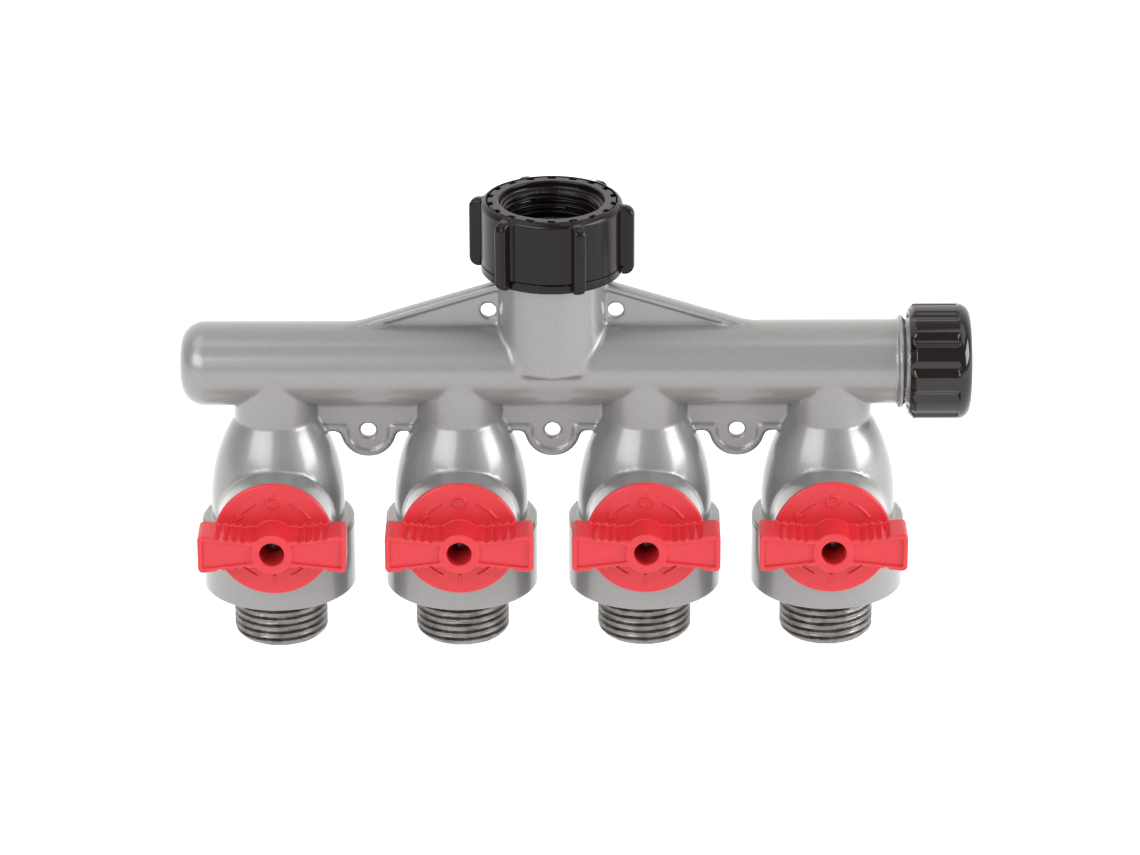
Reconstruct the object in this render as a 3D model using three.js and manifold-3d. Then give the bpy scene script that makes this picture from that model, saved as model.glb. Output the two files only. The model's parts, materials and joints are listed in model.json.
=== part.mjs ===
// Four-way garden hose splitter: a die-cast manifold with a swivel inlet nut, four quarter-turn
// ball valves with their outlet nipples, and a screwed end cap on its spare port.
// Millimetres, +Z up. The inlet points up, the outlets point down and the handles face -Y.
import * as THREE from 'three';
import { mergeVertices } from 'three/addons/utils/BufferGeometryUtils.js';
import Module from 'manifold-3d';

const wasm = await Module();
wasm.setup();

// ---------- Driving dimensions ----------
const clearance = 0.3; // between two pieces that touch or turn on each other
const overlap = 1; // how far one form runs into the next before they are joined
const edgeBreak = 0.5; // small chamfers

// Garden hose thread, 3/4 inch, 11.5 turns to the inch
const threadPitch = 25.4 / 11.5;
const threadCrest = 13.45;
const threadDepth = 1.3;
const ridgeTip = 0.15; // half the ridge's width at its crest
const ridgeFoot = 0.95; // and at its root
const ridgeBury = 0.4; // how deep the root is sunk in its wall

// Main tube, along X. Levels are heights above its axis.
const branchCount = 4;
const branchPitch = 52.8;
const tubeRadius = 12.1;
const tubeBore = 9.3;
const tubeCorner = 6.9;
const tubeEndWall = 6;
const tubeOverhang = 26.6; // closed end, from the first branch's axis
const beadReach = 19.7; // bead before the spare port, from the last branch's axis
const beadWidth = 1.6;
const beadHeight = 1.2;
const portLength = 14; // threaded spigot of the spare port, past the bead
const portThreadGap = 2.6; // bead to the first turn
const endChamfer = 0.9;

// Inlet neck, along Z
const inletRadius = 15.05;
const inletFoot = 0.2;
const inletShoulder = 28.3;
const inletBore = 8.8;
const inletSpigotWall = 2.2;
const inletSpigotTop = 37;
const retainerGrooveDepth = 0.9;
const retainerThickness = 1.2;
const retainerOpening = Math.PI / 3;

// Gusset webs beside the inlet neck
const webThickness = 2.4;
const gussetReach = 57.8;
const gussetTop = 24.8;
const gussetBottom = 11.5;
const gussetRimWidth = 4.3;
const gussetRimHeight = 2;
const gussetHoleOffset = 3; // hole centre from the neck's side
const gussetHoleLevel = 16.3;
const hangHole = 2.2;

// Ears between the branches
const earLevel = -20.6;
const earRadius = 7.75;
const earRimWidth = 1.9;
const earRimThickness = 3.8;

// Branch: neck, valve bulb and flange
const neckRadius = 12;
const neckBore = 9;
const valveLevel = -43.1;
const bulbRise = 1.1; // bulb's widest level above the valve axis
const bulbCurve = 49.4; // radius of the bulb's side
const castingWall = 5.2;
const flangeDrop = 4.3; // flange top below the valve axis
const flangeThickness = 1.3;
const flangeLip = 2.7;
const bossRadius = 16.5;
const bossReach = 5.9; // boss face in front of the bulb

// Ball and its seats
const ballRadius = 13.5;
const ballGap = 0.5; // ball to the chamber's wall
const waterway = 8.5;
const seatHeight = 4;
const seatLand = 1.6; // width of the seat's ring on the ball, from the water way
const ballSlotDepth = 2.7;
const ballSlotWidth = 3.4;
const ballSlotLength = 9;

// Outlet nipple
const collarHeight = 19;
const nippleThreadLength = 15.5;
const skirtWall = 4; // casting skirt that the collar is screwed over
const seatShelf = 2.6; // chamber's floor below the skirt's end
const nippleSealHeight = 1.4;

// Stem
const stemRadius = 3.8;
const stemFlangeLip = 0.8;
const stemFlangeGap = 0.8; // ball to the stem's flange
const stemFlangeThickness = 1.6;
const stemSquare = 4.4;
const stemSquareLength = 3.2;
const sealGrooveDepth = 0.9;
const sealGrooveWidth = 2;
const sealGrooveInset = 0.9; // from the stem's shoulder
const sealSlack = 0.2;
const sealSqueeze = 0.1; // how far the O-ring stands out of its groove

// Handle
const discRadius = 17.05;
const discThickness = 1.6;
const leverDepth = 10.4;
const leverLength = 41.8;
const leverEndHeight = 11.6;
const leverWaistHeight = 8.1;
const leverCorner = 1.2;
const leverRim = 1.4;
const panelDepth = 0.7;
const hubRadius = 5.95;
const hubHoleGap = 0.4; // screw head to the hub's hole
const hubFloor = 1.5;
const socketLength = 4.1; // rear boss that enters the casting
const socketRadius = 4.6;
const stopTabRadius = 8;
const stopTabFrom = THREE.MathUtils.degToRad(30);
const stopTabSpan = THREE.MathUtils.degToRad(20);
const stopTravel = THREE.MathUtils.degToRad(90);
const stopSlack = THREE.MathUtils.degToRad(3);

// Handle screw
const screwHeadRadius = 3.1;
const screwHeadHeight = 1.8;
const screwHeadEdge = 0.5;
const screwShank = 1.2;
const screwLength = 7.5;
const screwCross = 3.2;
const screwCrossWidth = 0.9;
const screwCrossDepth = 0.8;

// Inlet nut: a threaded ring inside a grip shell
const nutHeight = 21.1;
const nutFloor = 3.2;
const nutMouthDepth = 2.4;
const nutMouthLip = 1.25;
const nutMouthTaper = 0.3;
const nutRingSink = 0.2; // ring's top below the shell's
const nutRingWall = 4.45;
const nutFootHeight = 2.7;
const gripWall = 1.6;
const gripEdge = 1.2;
const lugCount = 6;
const lugReach = 3.5;
const lugWidth = 3.8;
const lugCorner = 1;
const lugPhase = THREE.MathUtils.degToRad(-9.5);
const notchCount = 18;
const notchSize = 1.1;
const notchDepth = 1.2;
const notchInset = 0.8; // notch centre from the ring's outer edge
const washerThickness = 2.6;
const retainerInset = 0.85; // retaining ring's edge from the thread's wall

// End cap
const capGap = 1.5; // bead to cap rim
const capWall = 2.7;
const capRimChamfer = 1.5;
const capEndRadius = 3.5;
const capFloor = 2.5;
const capWasherThickness = 2;
const fluteCount = 12;
const fluteRadius = 2.9;
const fluteDepth = 0.8;
const flutePhase = THREE.MathUtils.degToRad(16);

// Facets: how many sides each round form has
const bodySides = 24;
const bulbSteps = 4;
const earSteps = 8;
const innerSides = 16;
const smallSides = 12;
const fluteSides = 10;

// ---------- Values that follow from them ----------
const threadRoot = threadCrest - threadDepth;
const threadWall = threadCrest + clearance;
const femaleCrest = threadRoot + 2 * clearance;
const inletSpigotRadius = inletBore + inletSpigotWall;
const lastBranch = ((branchCount - 1) / 2) * branchPitch;
const tubeLeft = -lastBranch - tubeOverhang;
const beadRight = lastBranch + beadReach + beadWidth / 2;
const portEnd = beadRight + portLength;
const portThreadStart = beadRight + portThreadGap;
const bulbLevel = valveLevel + bulbRise;
const chamberRadius = ballRadius + ballGap;
const bulbRadius = chamberRadius + castingWall;
const collarRadius = bulbRadius + flangeLip;
const flangeTop = valveLevel - flangeDrop;
const castingBottom = flangeTop - flangeThickness;
const ballSpace = ballRadius + clearance;
const seatOffset = Math.sqrt(ballSpace ** 2 - (waterway + seatLand) ** 2);
const seatEnd = seatOffset + seatHeight + clearance; // chamber end from the valve axis
const skirtRadius = chamberRadius + skirtWall;
const skirtBottom = valveLevel - seatEnd + seatShelf;
const sealBottom = skirtBottom - clearance - nippleSealHeight;
const collarTop = castingBottom - clearance;
const collarBottom = collarTop - collarHeight;
const outletEnd = collarBottom - nippleThreadLength;
const bossFace = bulbRadius + bossReach;
const discBack = bossFace + clearance;
const discFront = discBack + discThickness;
const leverFront = discFront + leverDepth;
const socketBack = discBack - socketLength;
const socketFloor = socketBack + stemSquareLength + clearance;
const screwSeat = socketFloor + hubFloor;
const stemFlangeBack = ballRadius + stemFlangeGap;
const stemFlangeRadius = stemRadius + stemFlangeLip;
const sealGrooveFront = socketBack - clearance - sealGrooveInset;
const hubHole = screwHeadRadius + hubHoleGap;
const nutBottom = inletShoulder + clearance;
const nutTop = nutBottom + nutHeight;
const nutRingRadius = threadWall + nutRingWall;
const gripInner = nutRingRadius + clearance;
const gripOuter = gripInner + gripWall;
const retainerBottom = nutBottom + nutFloor + clearance;
const capRim = beadRight + capGap;
const capFloorInside = portEnd + 2 * clearance + capWasherThickness;
const capEnd = capFloorInside + capFloor;
const capRadius = threadWall + capWall;

// ---------- Materials ----------
function material(color, roughness, metalness) {
  return new THREE.MeshStandardMaterial({ color, roughness, metalness });
}

const silverPaint = material(0xa3a2a3, 0.42, 0.55);
const turnedMetal = material(0xa8a7a6, 0.34, 0.9);
const redPlastic = material(0xd8343f, 0.38, 0);
const blackPlastic = material(0x1c1b1c, 0.45, 0);
const blackGloss = material(0x1a1818, 0.22, 0);
const rubber = material(0x161616, 0.8, 0);
const whiteSeat = material(0xe9e7e1, 0.5, 0);
const chrome = material(0xc9c9cc, 0.15, 1);
const brass = material(0xb8974f, 0.35, 1);
const steel = material(0x9b9da1, 0.35, 1);

// ---------- Solids: joining and cutting ----------
function signedVolume(positions, triangles) {
  const [a, b, c] = [new THREE.Vector3(), new THREE.Vector3(), new THREE.Vector3()];
  let volume = 0;
  for (let i = 0; i < triangles.length; i += 3) {
    a.fromArray(positions, 3 * triangles[i]);
    b.fromArray(positions, 3 * triangles[i + 1]);
    c.fromArray(positions, 3 * triangles[i + 2]);
    volume += a.dot(b.cross(c)) / 6;
  }
  return volume;
}

// A closed three.js geometry as a solid whose faces point out.
function solid(geometry) {
  geometry.deleteAttribute('normal');
  geometry.deleteAttribute('uv');
  const merged = mergeVertices(geometry);
  const positions = merged.attributes.position.array;
  const corners = merged.index.array;
  const triangles = [];
  for (let i = 0; i < corners.length; i += 3) {
    const [a, b, c] = [corners[i], corners[i + 1], corners[i + 2]];
    if (a !== b && b !== c && c !== a) {
      triangles.push(a, b, c);
    }
  }
  if (signedVolume(positions, triangles) < 0) {
    triangles.reverse();
  }
  const mesh = new wasm.Mesh({
    numProp: 3,
    vertProperties: Float32Array.from(positions),
    triVerts: Uint32Array.from(triangles),
  });
  return new wasm.Manifold(mesh);
}

function join(solids) {
  return solids.reduce((all, next) => all.add(next));
}

function cut(body, tools) {
  return tools.reduce((rest, tool) => rest.subtract(tool), body);
}

function geometryOf(body) {
  const mesh = body.getMesh();
  const geometry = new THREE.BufferGeometry();
  geometry.setAttribute('position', new THREE.BufferAttribute(mesh.vertProperties, 3));
  geometry.setIndex(new THREE.BufferAttribute(mesh.triVerts, 1));
  geometry.computeVertexNormals();
  return geometry;
}

// ---------- Basic forms ----------
// A form of revolution about +Z, from [radius, height] points that start and end on the axis,
// or that go round a ring.
function turned(outline, sides) {
  const points = outline.map(([radius, height]) => new THREE.Vector2(radius, height));
  if (points[0].x > 0) {
    points.push(points[0].clone());
  }
  return new THREE.LatheGeometry(points, sides).rotateX(Math.PI / 2);
}

function turnedAlongX(outline, sides) {
  return turned(outline, sides).rotateY(Math.PI / 2);
}

function rod(radius, from, to, sides) {
  return turned([[0, from], [radius, from], [radius, to], [0, to]], sides);
}

function ring(inner, outer, from, to, sides) {
  return turned([[inner, from], [outer, from], [outer, to], [inner, to]], sides);
}

// An outline in X and Z, given depth from one distance in front of the Y = 0 plane to another.
function towardsFront(shape, from, to, sides) {
  const options = { depth: to - from, bevelEnabled: false, curveSegments: sides };
  return new THREE.ExtrudeGeometry(shape, options).translate(0, 0, from).rotateX(Math.PI / 2);
}

function frontRod(radius, from, to, sides) {
  return rod(radius, from, to, sides).rotateX(Math.PI / 2);
}

function polygon(points) {
  return new THREE.Shape(points.map(([x, z]) => new THREE.Vector2(x, z)));
}

// A disc with one wider lobe between two angles.
function lobedDisc(radius, lobeRadius, from, to) {
  const shape = new THREE.Shape();
  shape.absarc(0, 0, lobeRadius, from, to, false);
  shape.absarc(0, 0, radius, to, from + 2 * Math.PI, false);
  return shape;
}

function quarterArc(centreRadius, centreHeight, radius, fromAngle, steps) {
  const points = [];
  for (let i = 0; i <= steps; i += 1) {
    const angle = fromAngle - ((Math.PI / 2) * i) / steps;
    points.push([centreRadius + radius * Math.cos(angle), centreHeight + radius * Math.sin(angle)]);
  }
  return points;
}

// A right-hand helical ridge about +Z. Its foot is sunk in the wall that it grows from.
function threadRidge(wallRadius, crestRadius, start, turns, sides) {
  const outward = Math.sign(crestRadius - wallRadius);
  const footRadius = wallRadius - outward * ridgeBury;
  const section = [
    [footRadius, -ridgeFoot],
    [crestRadius, -ridgeTip],
    [crestRadius, ridgeTip],
    [footRadius, ridgeFoot],
  ];
  const steps = Math.round(turns * sides);
  const positions = [];
  const triangles = [];
  for (let i = 0; i <= steps; i += 1) {
    const angle = (2 * Math.PI * i) / sides;
    const height = start + (threadPitch * i) / sides;
    for (const [radius, offset] of section) {
      positions.push(radius * Math.cos(angle), radius * Math.sin(angle), height + offset);
    }
  }
  for (let i = 0; i < steps; i += 1) {
    for (let side = 0; side < 4; side += 1) {
      const a = 4 * i + side;
      const b = 4 * i + ((side + 1) % 4);
      triangles.push(a, a + 4, b, b, a + 4, b + 4);
    }
  }
  const last = 4 * steps;
  triangles.push(0, 1, 2, 0, 2, 3, last, last + 2, last + 1, last, last + 3, last + 2);
  const geometry = new THREE.BufferGeometry();
  geometry.setAttribute('position', new THREE.Float32BufferAttribute(positions, 3));
  geometry.setIndex(triangles);
  return geometry;
}

// ---------- Manifold casting ----------
function branchX(index) {
  return (index - (branchCount - 1) / 2) * branchPitch;
}

function bulbRadiusAt(level) {
  return bulbRadius - bulbCurve + Math.sqrt(bulbCurve ** 2 - (level - bulbLevel) ** 2);
}

function tubeForm() {
  const beadLeft = beadRight - beadWidth;
  const corner = quarterArc(tubeLeft + tubeCorner, tubeRadius - tubeCorner, tubeCorner, Math.PI, 4);
  const outline = [
    [0, tubeLeft],
    ...corner.map(([x, radius]) => [radius, x]),
    [tubeRadius, beadLeft - beadHeight / 2],
    [tubeRadius + beadHeight, beadLeft],
    [tubeRadius + beadHeight, beadRight],
    [0, beadRight],
  ];
  return solid(turnedAlongX(outline, bodySides));
}

function portForm() {
  const core = turnedAlongX([
    [0, beadRight - beadWidth],
    [threadRoot, beadRight - beadWidth],
    [threadRoot, portEnd - endChamfer],
    [threadRoot - endChamfer, portEnd],
    [0, portEnd],
  ], smallSides);
  const turns = (portEnd - endChamfer - portThreadStart) / threadPitch;
  const ridge = threadRidge(threadRoot, threadCrest, portThreadStart, turns, smallSides);
  return join([solid(core), solid(ridge.rotateY(Math.PI / 2))]);
}

function inletForm() {
  const grooveRadius = inletSpigotRadius - retainerGrooveDepth;
  const grooveTop = retainerBottom + retainerThickness + clearance;
  return solid(turned([
    [0, inletFoot],
    [inletRadius - edgeBreak, inletFoot],
    [inletRadius, inletFoot + edgeBreak],
    [inletRadius, inletShoulder],
    [inletSpigotRadius, inletShoulder],
    [inletSpigotRadius, retainerBottom - clearance],
    [grooveRadius, retainerBottom - clearance],
    [grooveRadius, grooveTop],
    [inletSpigotRadius, grooveTop],
    [inletSpigotRadius, inletSpigotTop],
    [0, inletSpigotTop],
  ], bodySides));
}

function branchForm() {
  const neckDrop = neckRadius - bulbRadius + bulbCurve;
  const shoulder = bulbLevel + Math.sqrt(bulbCurve ** 2 - neckDrop ** 2);
  const outline = [[0, 0], [neckRadius, 0]];
  for (let i = 0; i <= bulbSteps; i += 1) {
    const level = THREE.MathUtils.lerp(shoulder, flangeTop, i / bulbSteps);
    outline.push([bulbRadiusAt(level), level]);
  }
  outline.push(
    [collarRadius - edgeBreak, flangeTop],
    [collarRadius, flangeTop - edgeBreak],
    [collarRadius, castingBottom],
    [skirtRadius, castingBottom],
    [skirtRadius, skirtBottom],
    [0, skirtBottom],
  );
  return solid(turned(outline, bodySides));
}

function bossForm() {
  const boss = solid(frontRod(bossRadius, 0, bossFace, bodySides).translate(0, 0, valveLevel));
  const under = new THREE.BoxGeometry(4 * bossRadius, 4 * bossFace, 2 * bossRadius);
  return cut(boss, [solid(under.translate(0, 0, castingBottom - bossRadius))]);
}

function branchCuts() {
  const chamberTop = valveLevel + seatEnd;
  const flangePocket = stemFlangeBack + stemFlangeThickness + clearance;
  const stopPocket = lobedDisc(
    socketRadius + clearance,
    stopTabRadius + clearance,
    stopTabFrom - stopSlack,
    stopTabFrom + stopTabSpan + stopTravel + stopSlack,
  );
  const fromFront = [
    frontRod(stemRadius + clearance, chamberRadius - overlap, bossFace, smallSides),
    frontRod(stemFlangeRadius + clearance, chamberRadius / 2, flangePocket, smallSides),
    towardsFront(stopPocket, socketBack - clearance, bossFace + overlap, smallSides),
  ];
  return [
    solid(rod(neckBore, chamberTop - overlap, 0, innerSides)),
    solid(rod(chamberRadius, skirtBottom - overlap, chamberTop, innerSides)),
    ...fromFront.map((form) => solid(form.translate(0, 0, valveLevel))),
  ];
}

function plate(shape, thickness, sides) {
  return solid(towardsFront(shape, -thickness / 2, thickness / 2, sides));
}

function gussetForm(side) {
  const inner = side * (inletRadius - overlap);
  const outer = side * gussetReach;
  const slope = (gussetTop - gussetBottom) / (gussetReach - inletRadius);
  const innerTop = gussetTop + slope * overlap;
  const web = [[inner, 0], [outer, 0], [outer, gussetBottom], [inner, innerTop]];
  const rim = [
    [inner, innerTop - gussetRimHeight],
    [outer, gussetBottom - gussetRimHeight],
    [outer, gussetBottom],
    [inner, innerTop],
  ];
  const holeX = side * (inletRadius + gussetHoleOffset);
  const hole = frontRod(hangHole, -tubeRadius, tubeRadius, smallSides);
  const body = join([plate(polygon(web), webThickness), plate(polygon(rim), gussetRimWidth)]);
  return cut(body, [solid(hole.translate(holeX, 0, gussetHoleLevel))]);
}

// The lower outline of an ear and of the web beside it, moved in by an inset.
function earEdge(inset) {
  const halfWidth = branchPitch / 2 - neckRadius + overlap;
  const radius = earRadius - inset;
  const start = Math.asin(inset / radius);
  const edge = [[-halfWidth, inset]];
  for (let i = 0; i <= earSteps; i += 1) {
    const angle = Math.PI - start + ((Math.PI + 2 * start) * i) / earSteps;
    edge.push([radius * Math.cos(angle), radius * Math.sin(angle)]);
  }
  edge.push([halfWidth, inset]);
  return edge;
}

function earForm() {
  const halfWidth = branchPitch / 2 - neckRadius + overlap;
  const top = -earLevel - tubeRadius / 2;
  const web = polygon([...earEdge(0), [halfWidth, top], [-halfWidth, top]]);
  const rim = polygon([...earEdge(0), ...earEdge(earRimWidth).reverse()]);
  const hole = solid(frontRod(hangHole, -tubeRadius, tubeRadius, smallSides));
  const body = join([plate(web, webThickness), plate(rim, earRimThickness)]);
  return cut(body, [hole]).translate([0, 0, earLevel]);
}

function castingGeometry() {
  const branch = join([branchForm(), bossForm()]);
  const cuts = branchCuts();
  const forms = [tubeForm(), portForm(), inletForm(), gussetForm(-1), gussetForm(1)];
  const tools = [
    solid(turnedAlongX([
      [0, tubeLeft + tubeEndWall],
      [tubeBore, tubeLeft + tubeEndWall],
      [tubeBore, portEnd + overlap],
      [0, portEnd + overlap],
    ], innerSides)),
    solid(rod(inletBore, 0, inletSpigotTop + overlap, innerSides)),
  ];
  for (let i = 0; i < branchCount; i += 1) {
    forms.push(branch.translate([branchX(i), 0, 0]));
    tools.push(...cuts.map((tool) => tool.translate([branchX(i), 0, 0])));
  }
  for (let i = 0; i < branchCount - 1; i += 1) {
    forms.push(earForm().translate([branchX(i) + branchPitch / 2, 0, 0]));
  }
  return geometryOf(cut(join(forms), tools));
}

// ---------- Outlet nipple and its seal ----------
function nippleGeometry() {
  const collar = turned([
    [waterway, collarBottom],
    [waterway, valveLevel - seatEnd],
    [chamberRadius, valveLevel - seatEnd],
    [chamberRadius, sealBottom - clearance],
    [skirtRadius + clearance, sealBottom - clearance],
    [skirtRadius + clearance, collarTop],
    [collarRadius, collarTop],
    [collarRadius, collarBottom + edgeBreak],
    [collarRadius - edgeBreak, collarBottom],
  ], bodySides);
  const outlet = turned([
    [waterway, outletEnd],
    [waterway, collarBottom + overlap],
    [threadRoot, collarBottom + overlap],
    [threadRoot, outletEnd + endChamfer],
    [threadRoot - endChamfer, outletEnd],
  ], smallSides);
  const start = outletEnd + endChamfer + edgeBreak;
  const turns = (collarBottom - 2 * ridgeFoot - start) / threadPitch;
  const ridge = threadRidge(threadRoot, threadCrest, start, turns, smallSides);
  return geometryOf(join([solid(collar), solid(outlet), solid(ridge)]));
}

function nippleSealGeometry() {
  const top = sealBottom + nippleSealHeight;
  const inner = chamberRadius + clearance;
  return geometryOf(solid(ring(inner, skirtRadius, sealBottom, top, innerSides)));
}

// ---------- Valve: ball, seats, stem and stem seal, about the valve axis ----------
function ballGeometry() {
  const ball = solid(new THREE.SphereGeometry(ballRadius, innerSides, innerSides / 2));
  const bore = rod(waterway, -ballRadius, ballRadius, innerSides).rotateY(Math.PI / 2);
  const slot = new THREE.BoxGeometry(ballSlotWidth, 2 * ballSlotDepth, ballSlotLength);
  slot.translate(0, -ballRadius, 0);
  return geometryOf(cut(ball, [solid(bore), solid(slot)]));
}

function seatGeometry(side) {
  const inner = waterway + sealSqueeze;
  const outline = [
    [inner, Math.sqrt(ballSpace ** 2 - inner ** 2)],
    [Math.sqrt(ballSpace ** 2 - seatOffset ** 2), seatOffset],
    [chamberRadius - clearance, seatOffset],
    [chamberRadius - clearance, seatOffset + seatHeight],
    [inner, seatOffset + seatHeight],
  ];
  return geometryOf(solid(turned(outline.map(([r, h]) => [r, side * h]), innerSides)));
}

function stemGeometry() {
  const flangeFront = stemFlangeBack + stemFlangeThickness;
  const shaft = turned([
    [0, stemFlangeBack],
    [stemFlangeRadius, stemFlangeBack],
    [stemFlangeRadius, flangeFront],
    [stemRadius, flangeFront],
    [stemRadius, sealGrooveFront - sealGrooveWidth],
    [stemRadius - sealGrooveDepth, sealGrooveFront - sealGrooveWidth],
    [stemRadius - sealGrooveDepth, sealGrooveFront],
    [stemRadius, sealGrooveFront],
    [stemRadius, socketBack - clearance],
    [0, socketBack - clearance],
  ], smallSides).rotateX(Math.PI / 2);
  const squareFront = socketFloor - clearance;
  const squareBack = socketBack - overlap;
  const square = new THREE.BoxGeometry(stemSquare, squareFront - squareBack, stemSquare);
  square.translate(0, -(squareFront + squareBack) / 2, 0);
  const bladeBack = ballRadius - ballSlotDepth + clearance;
  const bladeFront = stemFlangeBack + overlap;
  const bladeWidth = ballSlotWidth - 2 * clearance;
  const bladeLength = ballSlotLength - 2 * clearance;
  const blade = new THREE.BoxGeometry(bladeWidth, bladeFront - bladeBack, bladeLength);
  blade.translate(0, -(bladeFront + bladeBack) / 2, 0);
  const holeEnd = screwSeat - screwLength;
  const screwHole = frontRod(screwShank + clearance, holeEnd, squareFront + overlap, smallSides);
  const body = join([solid(shaft), solid(square), solid(blade)]);
  return geometryOf(cut(body, [solid(screwHole)]));
}

function stemSealGeometry() {
  const front = sealGrooveFront - sealSlack;
  const back = front - sealGrooveWidth + 2 * sealSlack;
  const inner = stemRadius - sealGrooveDepth + sealSlack;
  const form = ring(inner, stemRadius + sealSqueeze, back, front, smallSides);
  return geometryOf(solid(form.rotateX(Math.PI / 2)));
}

// ---------- Handle and its screw, about the valve axis ----------
function leverOutline() {
  const end = leverLength / 2;
  const high = leverEndHeight / 2;
  const waist = leverWaistHeight / 2;
  return polygon([
    [end, leverCorner - high],
    [end, high - leverCorner],
    [end - leverCorner, high],
    [hubRadius, waist],
    [-hubRadius, waist],
    [leverCorner - end, high],
    [-end, high - leverCorner],
    [-end, leverCorner - high],
    [leverCorner - end, -high],
    [-hubRadius, -waist],
    [hubRadius, -waist],
    [end - leverCorner, -high],
  ]);
}

function panelForm(side) {
  const inner = side * (hubRadius + leverRim);
  const outer = side * (leverLength / 2 - leverRim);
  const waist = leverWaistHeight / 2 - leverRim;
  const high = leverEndHeight / 2 - leverRim;
  const outline = polygon([[inner, -waist], [outer, -high], [outer, high], [inner, waist]]);
  return solid(towardsFront(outline, leverFront - panelDepth, leverFront + overlap));
}

function handleGeometry() {
  const tab = lobedDisc(socketRadius, stopTabRadius, stopTabFrom, stopTabFrom + stopTabSpan);
  const body = join([
    solid(frontRod(discRadius, discBack, discFront, bodySides)),
    solid(towardsFront(tab, socketBack, discBack + overlap, smallSides)),
    solid(towardsFront(leverOutline(), discFront - overlap, leverFront)),
    solid(frontRod(hubRadius, discFront - overlap, leverFront, innerSides)),
  ]);
  const socketWidth = stemSquare + 2 * clearance;
  const socket = new THREE.BoxGeometry(socketWidth, socketFloor - socketBack + overlap, socketWidth);
  socket.translate(0, -(socketFloor + socketBack - overlap) / 2, 0);
  return geometryOf(cut(body, [
    solid(frontRod(hubHole, screwSeat, leverFront + overlap, smallSides)),
    solid(frontRod(screwShank + clearance, socketFloor - overlap, screwSeat + overlap, smallSides)),
    solid(socket),
    panelForm(-1),
    panelForm(1),
  ]));
}

function screwGeometry() {
  const headBack = screwSeat + clearance;
  const headFront = headBack + screwHeadHeight;
  const form = turned([
    [0, headBack - screwLength],
    [screwShank, headBack - screwLength],
    [screwShank, headBack],
    [screwHeadRadius, headBack],
    [screwHeadRadius, headFront - screwHeadEdge],
    [screwHeadRadius - screwHeadEdge, headFront],
    [0, headFront],
  ], smallSides).rotateX(Math.PI / 2);
  const slotAlongX = new THREE.BoxGeometry(screwCross, 2 * screwCrossDepth, screwCrossWidth);
  const slotAlongZ = new THREE.BoxGeometry(screwCrossWidth, 2 * screwCrossDepth, screwCross);
  return geometryOf(cut(solid(form), [
    solid(slotAlongX.translate(0, -headFront, 0)),
    solid(slotAlongZ.translate(0, -headFront, 0)),
  ]));
}

// ---------- Inlet nut, its retaining ring and its washer ----------
function nutRingGeometry() {
  const footTop = nutBottom + nutFootHeight;
  const top = nutTop - nutRingSink;
  const mouthEdge = threadWall + nutMouthLip;
  const form = turned([
    [inletSpigotRadius + clearance, nutBottom],
    [gripOuter, nutBottom],
    [gripOuter, footTop],
    [nutRingRadius, footTop],
    [nutRingRadius, top],
    [mouthEdge, top],
    [mouthEdge - nutMouthTaper, nutTop - nutMouthDepth],
    [threadWall, nutTop - nutMouthDepth],
    [threadWall, nutBottom + nutFloor],
    [inletSpigotRadius + clearance, nutBottom + nutFloor],
  ], bodySides);
  const start = inletSpigotTop + washerThickness + 2 * clearance + ridgeFoot;
  const turns = (nutTop - nutMouthDepth - ridgeFoot - start) / threadPitch;
  const ridge = threadRidge(threadWall, femaleCrest, start, turns, smallSides);
  const notches = [];
  for (let i = 0; i < notchCount; i += 1) {
    const notch = new THREE.BoxGeometry(notchSize, notchSize, 2 * notchDepth);
    notch.translate(nutRingRadius - notchInset - notchSize / 2, 0, nutTop);
    notches.push(solid(notch.rotateZ((2 * Math.PI * (i + 0.5)) / notchCount)));
  }
  return geometryOf(cut(join([solid(form), solid(ridge)]), notches));
}

function nutGripGeometry() {
  const shellBottom = nutBottom + nutFootHeight + clearance;
  const shell = solid(turned([
    [gripInner, shellBottom],
    [gripOuter, shellBottom],
    [gripOuter, nutTop - gripEdge],
    [gripOuter - gripEdge / 3, nutTop - gripEdge / 3],
    [gripOuter - gripEdge, nutTop],
    [gripInner, nutTop],
  ], bodySides));
  const tip = gripOuter + lugReach;
  const root = gripOuter - gripWall / 2;
  const half = lugWidth / 2;
  const outline = polygon([
    [root, -half],
    [tip - lugCorner, -half],
    [tip, lugCorner - half],
    [tip, half - lugCorner],
    [tip - lugCorner, half],
    [root, half],
  ]);
  const lugs = [];
  for (let i = 0; i < lugCount; i += 1) {
    const options = { depth: nutHeight - lugCorner, bevelEnabled: false };
    const lug = new THREE.ExtrudeGeometry(outline, options).translate(0, 0, nutBottom);
    lugs.push(solid(lug.rotateZ(lugPhase + (2 * Math.PI * i) / lugCount)));
  }
  const footSpace = solid(rod(gripOuter + clearance, nutBottom - overlap, shellBottom, bodySides));
  return geometryOf(cut(join([shell, ...lugs]), [footSpace]));
}

function retainerGeometry() {
  const inner = inletSpigotRadius - retainerGrooveDepth + clearance;
  const outer = threadWall - retainerInset;
  const shape = new THREE.Shape();
  shape.absarc(0, 0, outer, retainerOpening, 2 * Math.PI, false);
  shape.absarc(0, 0, inner, 2 * Math.PI, retainerOpening, true);
  const options = { depth: retainerThickness, bevelEnabled: false, curveSegments: smallSides };
  const geometry = new THREE.ExtrudeGeometry(shape, options);
  return geometryOf(solid(geometry.translate(0, 0, retainerBottom)));
}

function inletWasherGeometry() {
  const bottom = inletSpigotTop + clearance;
  const top = inletSpigotTop + washerThickness;
  const outer = femaleCrest - 2 * clearance;
  return geometryOf(solid(ring(inletBore, outer, bottom, top, innerSides)));
}

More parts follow.
